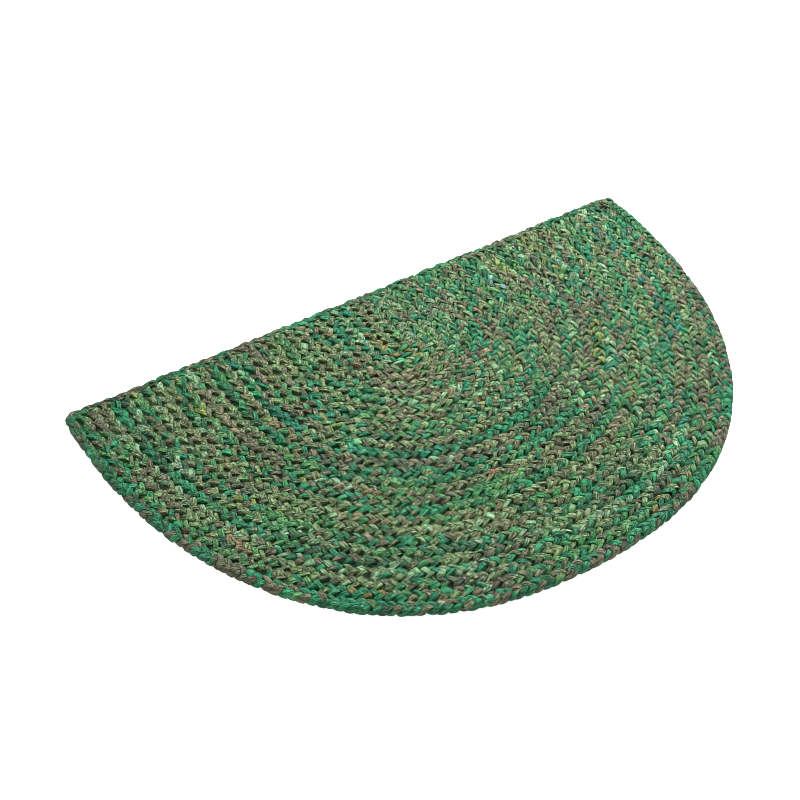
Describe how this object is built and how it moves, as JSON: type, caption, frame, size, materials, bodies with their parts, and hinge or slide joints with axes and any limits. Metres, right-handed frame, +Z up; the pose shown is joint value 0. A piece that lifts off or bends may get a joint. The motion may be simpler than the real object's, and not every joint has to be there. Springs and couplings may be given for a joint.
{
  "type": "half-moon braided rug",
  "caption": "Flat half-moon mat of cotton rag braid: U-shaped coiled rows cut straight across, bound all round by a border braid. Lies flat on a floor.",
  "frame": {"origin": "middle of the rug's box, at floor level", "axes": "+X along the straight edge, +Y from the round side towards the straight edge, +Z up"},
  "size_m": [0.7998, 0.496, 0.0107],
  "materials": {
    "field_rag": "matt braided cotton rag, mixed greens with olive and grey-brown",
    "border_rag": "matt braided cotton rag, two strands green and one grey-brown"
  },
  "bodies": {
    "root": {"coiled_field": "field_rag", "border_braid": "border_rag"}
  },
  "joints": []
}
